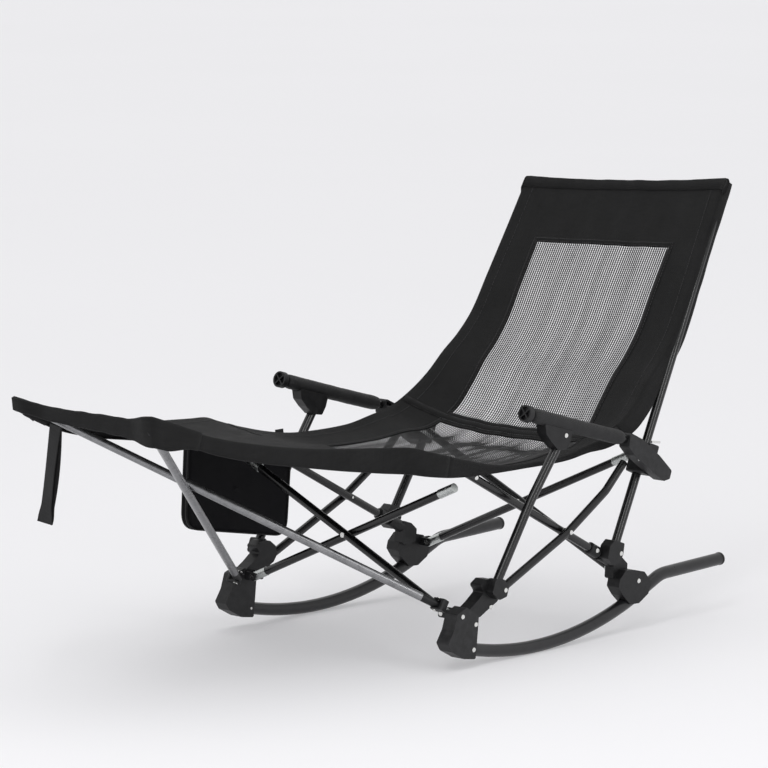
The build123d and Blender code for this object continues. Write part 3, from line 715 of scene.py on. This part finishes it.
def top_hem():
    """Cross sections from the front of the top edge, over it and down behind, pocketed at the posts."""
    s = RAIL.length
    way, up = edge_frame(s)
    reach = RAIL(s, 2) + ROLL + 1.5
    verts, uvs, faces = [], [], []
    xs = [-reach + 2 * reach * i / 60 for i in range(61)]
    for x in xs:
        near_post = smooth(abs(x), reach - 52, reach - 14)
        deep = TOP_THIN + (TOP_BACK - TOP_THIN) * near_post
        side = max(-1, min(1, x / RAIL(s, 2)))
        root = sling(s - 22, x)
        root.x = x
        front = up * 1.4
        crown = 25 + 3 * near_post - 3 * (1 - abs(side) ** 2)
        section = [
            (0.0, 0.0), (crown * 0.55, 0.2), (crown - deep * 0.22, deep * 0.06),
            (crown - deep * 0.05, deep * 0.26), (crown, deep * 0.55), (crown - deep * 0.1, deep * 0.86),
            (crown - deep * 0.4, deep), (crown * 0.4, deep + 1),
            (-TOP_FLAP * (0.35 + 0.4 * near_post), deep + 0.5),
        ]
        tuck = 5.0 * smooth(abs(x), reach - 8, reach)
        for rise, back in section:
            verts.append(root + front + way * (rise - tuck * 0.5) - up * (back * (1 - 0.1 * tuck)))
            uvs.append((x, s + rise + back))
    wide = len(section)
    for i in range(len(xs) - 1):
        for j in range(wide - 1):
            a = i * wide + j
            faces.append([a, a + 1, a + wide + 1, a + wide])
    for end in (0, (len(xs) - 1) * wide):
        ring = list(range(end, end + wide))
        faces.append(ring if end == 0 else ring[::-1])
    obj = piece("top_hem", verts, faces, SLING, uvs)
    return thicken(obj, 1.6, 0.0)


top_band = top_hem()

# ==================================================
# End sleeve of the leg rest, with a pocket flap at each corner for the rest tubes' tips
# ==================================================
WRAP_RIGHT, WRAP_LEFT = 54.0, 92.0  # how far the sleeve runs up each side
DEEP_RIGHT, DEEP_LEFT = 24.0, 54.0  # how far it hangs at each corner
OUT_SIDE, OUT_END = 7.0, 26.0  # how far it stands off the side edge and off the end
SLEEVE_ROOT = 22  # how far in from the edge it is sewn on


def sleeve_path():
    """From the right side round to the left: edge points, outward offsets, downward directions,
    depths and the points where the sleeve is sewn on."""
    way = edge_frame(0.0)[0]
    half = RAIL(0, 2)
    down = Vector((0, 0.12, -1)).normalized()
    path = []

    def along(side, t, length):
        at = length * t
        hang = down.lerp(-edge_frame(at)[1], t).normalized()
        deep = DEEP_LEFT if side > 0 else DEEP_RIGHT
        deep += (RAIL(at, 4) + 2 - deep) * smooth(t, 0, 1)
        root = sling(at, side * (RAIL(at, 2) - SLEEVE_ROOT))
        return sling(at, side * RAIL(at, 2)), Vector((side * OUT_SIDE, 0, 0)), hang, deep, root

    def corner(side, angle):
        out = Vector((side * OUT_SIDE * cos(angle), 0, 0)) - way * OUT_END * sin(angle)
        deep = DEEP_LEFT if side > 0 else DEEP_RIGHT
        root = sling(SLEEVE_ROOT, side * (half - SLEEVE_ROOT))
        return sling(0, side * half), out, down, deep, root

    path += [along(-1, 1 - i / 7, WRAP_RIGHT) for i in range(7)]
    path += [corner(-1, pi / 2 * i / 7) for i in range(8)]
    for i in range(1, 48):
        x = -half + 2 * half * i / 48
        near = smooth(abs(x), half - 70, half - 12)
        share = (x + half) / (2 * half)
        deep = 22 + 14 * share + 18 * smooth(x, half - 96, half - 8)
        out = -way * (OUT_SIDE + (OUT_END - OUT_SIDE) * near)
        path.append((sling(0, x), out, down, deep, sling(SLEEVE_ROOT, x)))
    path += [corner(1, pi / 2 * (1 - i / 7)) for i in range(8)]
    path += [along(1, (i + 1) / 9, WRAP_LEFT) for i in range(9)]
    return path


def end_sleeve():
    """The leg rest's end: doubled cloth folded over the edge and round both corners, deeper on the left."""
    up = edge_frame(0.0)[1]
    verts, uvs, faces, run = [], [], [], 0.0
    path = sleeve_path()
    for i, (edge, out, hang, deep, root) in enumerate(path):
        run += (edge + out - path[i - 1][0] - path[i - 1][1]).length if i else 0
        wave = 1 + 0.06 * noise.noise(Vector((run / 60, 2.0, 7.0)))
        section = [root + up * 1.5, edge + up * 2.0, edge + out * 0.8 + up * 1.4]
        section.append(edge + out * 0.97 - up * 2.2)
        for t in (0.2, 0.5, 0.8, 1.0):
            section.append(edge + out * (1 + 0.06 * (wave - 1) * t) + hang * (deep * t * wave))
        section += [edge + out * 0.82 + hang * (deep * wave + 0.8), edge + out * 0.55 + hang * (deep * 0.8)]
        verts += section
        uvs += [(run, 9.0 * k) for k in range(len(section))]
    wide = len(verts) // len(path)
    for i in range(len(path) - 1):
        for j in range(wide - 1):
            a = i * wide + j
            faces.append([a, a + wide, a + wide + 1, a + 1])
    obj = piece("end_sleeve", verts, faces, SLING, uvs)
    return thicken(obj, 1.6, 0.0)


end_band = end_sleeve()

REST_TIP = Vector((178.0, -698.0, 528.0))  # of the left tube; the right one mirrors it
REST_MIDDLE = Vector((0.0, -434.0, 361.0))
POCKET_LEFT, POCKET_RIGHT = 72.0, 46.0


def corner_pocket(side):
    """A sleeve of doubled cloth under a corner that holds the rest tube's tip and narrows to its mouth."""
    name = "corner_pocket_left" if side > 0 else "corner_pocket_right"
    length = POCKET_LEFT if side > 0 else POCKET_RIGHT
    tip = Vector((side * REST_TIP.x, REST_TIP.y, REST_TIP.z))
    way = (REST_MIDDLE - tip).normalized()
    start = tip + way * 12
    across = Vector((1, 0, 0))
    across = (across - way * across.dot(way)).normalized()
    out = across.cross(way)
    verts, uvs = [], []
    rings, segments = 12, 24
    for i in range(rings + 1):
        t = i / rings
        wide = 10.6 + 0.8 * t
        thick = 10.0 - 0.8 * (1 - smooth(t, 0.0, 0.1))
        for k in range(segments):
            angle = 2 * pi * k / segments
            fold = 1 + 0.03 * sin(3 * angle + 2.5 * t) + 0.02 * sin(7 * angle)
            verts.append(start + way * (length * t) + across * (wide * cos(angle) * fold)
                         + out * (thick * sin(angle) * fold))
            uvs.append((wide * angle, length * t))
    faces = tube_faces(rings, segments) + [list(range(segments))[::-1]]
    obj = piece(name, verts, faces, SLING, uvs)
    return thicken(obj, 1.2, 0.0)


pockets = [corner_pocket(side) for side, _ in SIDES]

# ==================================================
# Webbing loop on the leg rest's end
# ==================================================
STRAP_ROOT = Vector((-80.0, -698.0, 504.0))
STRAP_END = Vector((-112.0, -701.0, 322.0))
STRAP_HALF, STRAP_FLARE, STRAP_HALF_THICK = 14.5, 4.5, 0.9


def strap_loop():
    """Two layers of webbing that hang from the end, bowed apart, and turn over at the bottom."""
    way = (STRAP_END - STRAP_ROOT).normalized()
    across = Vector((1, 0, 0))
    out = across.cross(way).normalized()
    parts = []
    for layer in (-1, 1):
        path, side = [], []
        for i in range(25):
            t = i / 24
            bow = sin(pi * t) * 3.0 + 1.0
            wave = 4 * sin(2.2 * t)
            path.append(STRAP_ROOT + (STRAP_END - STRAP_ROOT) * t + out * layer * bow + out * wave)
            side.append(across + out * 0.18 * sin(3 * t) * layer)
        parts.append((path, side))
    (front, front_side), (rear, rear_side) = parts
    turn = [front[-1] * 0.75 + rear[-1] * 0.25 + way * 2.2, front[-1] * 0.25 + rear[-1] * 0.75 + way * 2.2]
    path = front + turn + rear[::-1]
    side = front_side + [across, across] + rear_side[::-1]
    flare = []
    for point in path:
        t = (point - STRAP_ROOT).length / (STRAP_END - STRAP_ROOT).length
        flare.append(STRAP_HALF + STRAP_FLARE * smooth(t, 0.82, 0.97))
    verts, faces, uvs = ribbon(path, side, flare, STRAP_HALF_THICK)
    return piece("strap_loop", verts, faces, WEBBING, uvs, smooth=False)


strap = strap_loop()

# ==================================================
# Side bag
# ==================================================
BAG_CORNERS = [(-150, 384), (134, 350), (118, 166), (-160, 216)]
BAG_X = (-296.0, -305.5)
BAG_MOUTH, MOUTH_FALL, MOUTH_RUN = (-152.0, 384.0), 34.0, 278.0  # the line of its open top
BAG_HANGERS = ((-132, 381), (106, 352))


def bag_outline(inset, radius=34.0, count=9):
    """The bag's rounded outline in the side view, inset mm, from the top rear corner round."""
    points = []
    total = len(BAG_CORNERS)
    for i, (y, z) in enumerate(BAG_CORNERS):
        before = Vector(BAG_CORNERS[i - 1]) - Vector((y, z))
        after = Vector(BAG_CORNERS[(i + 1) % total]) - Vector((y, z))
        r = radius if i >= 2 else 7.0
        start = Vector((y, z)) + before.normalized() * r
        end = Vector((y, z)) + after.normalized() * r
        for k in range(count + 1):
            t = k / count
            points.append(start * (1 - t) ** 2 + Vector((y, z)) * 2 * t * (1 - t) + end * t**2)
    centre = Vector((sum(c[0] for c in BAG_CORNERS) / 4, sum(c[1] for c in BAG_CORNERS) / 4))
    return [p + (centre - p).normalized() * inset for p in points], centre


def bag_shell():
    """Two soft panels and a gusset, bellied out, open at the top."""
    verts, faces, uvs = [], [], []
    rings = 9
    outline, centre = bag_outline(0)
    size = len(outline)
    for face, x in ((1, BAG_X[1]), (-1, BAG_X[0])):
        for ring in range(rings + 1):
            t = ring / rings
            for p in outline:
                q = p + (centre - p) * t
                puff = (1 - (1 - t) ** 2.2) * 5.5
                puff += noise.noise(Vector((q.x / 42, q.y / 60, face * 2.0))) * 2.2 * min(1, 3 * t)
                y, z = q
                verts.append((x - face * puff * (1 if face > 0 else -0.6), y, z))
                uvs.append((y, z))
    for half in (0, 1):
        quads = tube_faces(rings, size, half * (rings + 1) * size)
        faces += [quad[::-1] for quad in quads] if half else quads
    other = (rings + 1) * size
    for k in range(size):
        y_mid = (outline[k][0] + outline[(k + 1) % size][0]) / 2
        z_mid = (outline[k][1] + outline[(k + 1) % size][1]) / 2
        top_z = BAG_MOUTH[1] - (y_mid - BAG_MOUTH[0]) * MOUTH_FALL / MOUTH_RUN
        if z_mid > top_z - 4:
            continue
        a, b = k, (k + 1) % size
        faces.append([a, other + a, other + b, b])
    obj = piece("side_bag_shell", verts, faces, BAG_CLOTH, uvs)
    return thicken(obj, 1.2, 0.0)


bag = bag_shell()


def bag_binding():
    """The piping round both panels, and the two tapes that hang the bag."""
    outline = bag_outline(-0.5)[0]
    parts = []
    for x in (BAG_X[0] + 0.6, BAG_X[1] - 0.6):
        path = [Vector((x, y, z)) for y, z in [*outline, outline[0]]]
        parts.append(ribbon(path, Vector((1, 0, 0)), 1.6, 1.5))
    for y, z in BAG_HANGERS:
        path = [Vector((-301 + 2 * sin(3 * i / 8), y, z - 22 + 52 * i / 8)) for i in range(9)]
        parts.append(ribbon(path, Vector((0, 1, 0)), 11, 0.8))
    verts, faces, uvs = merge(parts)
    return piece("bag_binding", verts, faces, WEBBING, uvs)


bag_edge = bag_binding()

# ==================================================
# Arm pads: foam sleeves, swollen by simulation
# ==================================================
ARM_FRONT, ARM_REAR, ARM_RADIUS = Vector((327.0, 133.0, 477.0)), Vector((327.0, 430.0, 393.0)), 15.5
ARM_CAP, ARM_TAIL = 20.0, 14.0  # the bare lengths at the front and the rear
PAD_LENGTH = (ARM_REAR - ARM_FRONT).length - ARM_CAP - ARM_TAIL
PAD_WAY = (ARM_REAR - ARM_FRONT).normalized()
PAD_UP = Vector((1, 0, 0)).cross(PAD_WAY)


def pad_form():
    """A sleeve of foam from the cap back to the tail, a little oval and drooping between its ends."""
    side = Vector((1, 0, 0))
    verts = []
    rings, segments = 46, 28
    for i in range(rings + 1):
        t = i / rings
        end = min(t, 1 - t) * PAD_LENGTH
        swell = ARM_RADIUS * (0.84 + 0.12 * smooth(end, 0, 10))
        centre = ARM_FRONT + PAD_WAY * (ARM_CAP + 0.3 + (PAD_LENGTH - 0.6) * t)
        centre -= PAD_UP * (0.8 * sin(pi * t))
        for k in range(segments):
            angle = 2 * pi * k / segments
            verts.append(centre + side * (swell * cos(angle)) + PAD_UP * (swell * 0.98 * sin(angle)))
    last = rings * segments
    ends = [list(range(segments))[::-1], list(range(last, last + segments))]
    return piece("arm_pad_cover_left", verts, tube_faces(rings, segments) + ends, COVER)


SIM_STEPS, SWELL_LIMIT = 16, 2.5


def simulate_pad(obj):
    """Swells the pad under pressure; each point may move SWELL_LIMIT mm at most."""
    remesh = obj.modifiers.new("voxels", "REMESH")
    remesh.mode = "VOXEL"
    remesh.voxel_size = 3.6 * MM
    remesh.use_smooth_shade = True
    apply_modifiers(obj)
    rest = [v.co.copy() for v in obj.data.vertices]
    cloth = obj.modifiers.new("cloth", "CLOTH")
    cloth.settings.use_pressure = True
    cloth.settings.uniform_pressure_force = 4.0
    cloth.settings.effector_weights.gravity = 0
    cloth.settings.quality = 6
    cloth.settings.tension_stiffness = 12
    cloth.settings.bending_stiffness = 2
    scene = bpy.context.scene
    for step in range(1, SIM_STEPS + 1):
        scene.frame_set(step)
    graph = bpy.context.evaluated_depsgraph_get()
    swollen = [v.co.copy() for v in obj.evaluated_get(graph).data.vertices]
    obj.modifiers.clear()
    for vertex, old, new in zip(obj.data.vertices, rest, swollen):
        move = new - old
        vertex.co = old + move * min(1.0, SWELL_LIMIT * MM / max(move.length, 1e-9))
    scene.frame_set(1)


def finish_pad(obj):
    """Puckers at the glued ends, a lengthwise seam underneath, and one subdivision."""
    front, length = ARM_FRONT * MM, PAD_LENGTH * MM
    fine = obj.modifiers.new("fine", "SUBSURF")
    fine.levels = fine.render_levels = 1
    apply_modifiers(obj)
    for vertex in obj.data.vertices:
        along = (vertex.co - front).dot(PAD_WAY) - ARM_CAP * MM
        radial = vertex.co - (front + PAD_WAY * (vertex.co - front).dot(PAD_WAY))
        angle = atan2(radial.dot(PAD_UP), radial.x)
        end = min(along, length - along)
        pucker = sin(9 * angle + 2) * 0.35 * (1 - smooth(end, 0, 26 * MM))
        dent = noise.noise(vertex.co * 34) * 0.7 + noise.noise(vertex.co * 90) * 0.25
        groove = -1.3 * (1 - smooth(abs(angle + pi / 2), 0.03, 0.16))
        if radial.length > 8 * MM:
            vertex.co += radial.normalized() * (pucker + dent + groove) * MM
    obj.data.polygons.foreach_set("use_smooth", [True] * len(obj.data.polygons))


pad_left = pad_form()
simulate_pad(pad_left)
finish_pad(pad_left)
if not pad_left.data.materials:
    pad_left.data.materials.append(COVER)
pad_mesh = pad_left.data.copy()
pad_mesh.transform(Matrix.Scale(-1, 4, (1, 0, 0)))
pad_mesh.flip_normals()
pad_right = bpy.data.objects.new("arm_pad_cover_right", pad_mesh)
bpy.context.scene.collection.objects.link(pad_right)

# ==================================================
# What rides on what
# ==================================================
CLOTHS = [rest_cloth, seat_cloth, back_cloth, seat_net, back_net, seat_binding, back_binding, knee_seam,
          crotch_seam, rest_sewing, seat_sewing, back_sewing, top_band, end_band, strap, *pockets]
for cloth in CLOTHS:
    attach(cloth, "left_side")
    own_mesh(cloth)
for obj in (bag, bag_edge):
    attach(obj, "right_side")
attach(pad_left, "left_side")
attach(pad_right, "right_side")

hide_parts("rest_panel")
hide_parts("seat_panel")
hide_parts("back_panel")
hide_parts("seat_mesh")
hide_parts("back_mesh")
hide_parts("strap")
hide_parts("side_bag")
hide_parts("arm_pad_left")
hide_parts("arm_pad_right")

SEAM, SAMPLES = 24.0, 60


def cut(low, high, window=None):
    """Flat size and area in metres of a length of the sling, its hems and seams let out."""
    spots = [low + (high - low) * (i + 0.5) / SAMPLES for i in range(SAMPLES)]
    wide = [2 * (RAIL(s, 2) + ROLL + RAIL(s, 4) + RAIL(s, 5)) for s in spots]
    area = sum(wide) / SAMPLES * (high - low + SEAM)
    if window:
        hole = sum(2 * RAIL(s, 6) for s in spots if window[0] < s < window[1])
        area -= hole / SAMPLES * (high - low)
    return {"flat": (max(wide) * MM, (high - low + SEAM) * MM), "area": area * MM * MM}


def window_size(s_range):
    """Flat size in metres of a window's net."""
    low, high = s_range
    return (2 * (RAIL(low, 6) + NET_TUCK) * MM, (high - low + 2 * NET_TUCK) * MM)


cut(0.0, KNEE_S)
cut(KNEE_S, CROTCH_S, SEAT_S)
cut(CROTCH_S, RAIL.length, BACK_S)
window_size(SEAT_S)
window_size(BACK_S)

# ==================================================
# Stage, light and camera
# ==================================================
FLOOR_REACH = 60000.0
FLOOR_COLOUR, FLOOR_ROUGH, FLOOR_GLOW = (0.6, 0.598, 0.61), 0.9, 0.28
SUN_POWER, SUN_SPREAD, SUN_WAY = 0.25, radians(50), Vector((0.16, -0.2, -1))
SKY_COLOUR, SKY_POWER = (0.97, 0.97, 0.975, 1), 0.84
CAMERA_AT = (6.051, -6.330, 1.798)
CAMERA_DOWN, CAMERA_TURN = 8.34, 43.30  # degrees
LENS, SENSOR = 215.6, 36.0


def studio_floor():
    """A plain floor that reaches past the view from every side."""
    corners = [(x * FLOOR_REACH, y * FLOOR_REACH, 0) for x, y in ((-1, -1), (1, -1), (1, 1), (-1, 1))]
    surface = studio_surface("studio_floor", FLOOR_COLOUR, FLOOR_ROUGH, FLOOR_GLOW)
    return piece("studio_floor", corners, [[0, 1, 2, 3]], surface)


studio_floor()


def light(name, where, aim, wide, tall, watts):
    """A white softbox."""
    data = bpy.data.lights.new(name, "AREA")
    data.shape = "RECTANGLE"
    data.size, data.size_y = wide, tall
    data.energy = watts
    lamp = bpy.data.objects.new(name, data)
    lamp.location = where
    lamp.rotation_euler = (Vector(aim) - Vector(where)).to_track_quat("-Z", "Y").to_euler()
    bpy.context.scene.collection.objects.link(lamp)


light("overhead", where=(1.6, -2.6, 3.2), aim=(0, 0.1, 0.2), wide=0.5, tall=2.8, watts=34)
light("left_front", where=(4.6, 0.6, 2.0), aim=(0, 0.1, 0.3), wide=0.4, tall=1.8, watts=26)

sun_data = bpy.data.lights.new("daylight", "SUN")
sun_data.energy, sun_data.angle = SUN_POWER, SUN_SPREAD
sun = bpy.data.objects.new("daylight", sun_data)
sun.rotation_euler = SUN_WAY.to_track_quat("-Z", "Y").to_euler()
bpy.context.scene.collection.objects.link(sun)

world = bpy.data.worlds.new("studio")
world.use_nodes = True
sky = world.node_tree.nodes["Background"]
sky.inputs["Color"].default_value = SKY_COLOUR
sky.inputs["Strength"].default_value = SKY_POWER
bpy.context.scene.world = world
bpy.context.scene.view_settings.view_transform = "Standard"

camera = bpy.data.objects.new("camera", bpy.data.cameras.new("camera"))
camera.data.lens, camera.data.sensor_width = LENS, SENSOR
camera.location = CAMERA_AT
camera.rotation_euler = (radians(90 - CAMERA_DOWN), 0, radians(CAMERA_TURN))
camera.data.clip_end = 100
bpy.context.scene.collection.objects.link(camera)
bpy.context.scene.camera = camera
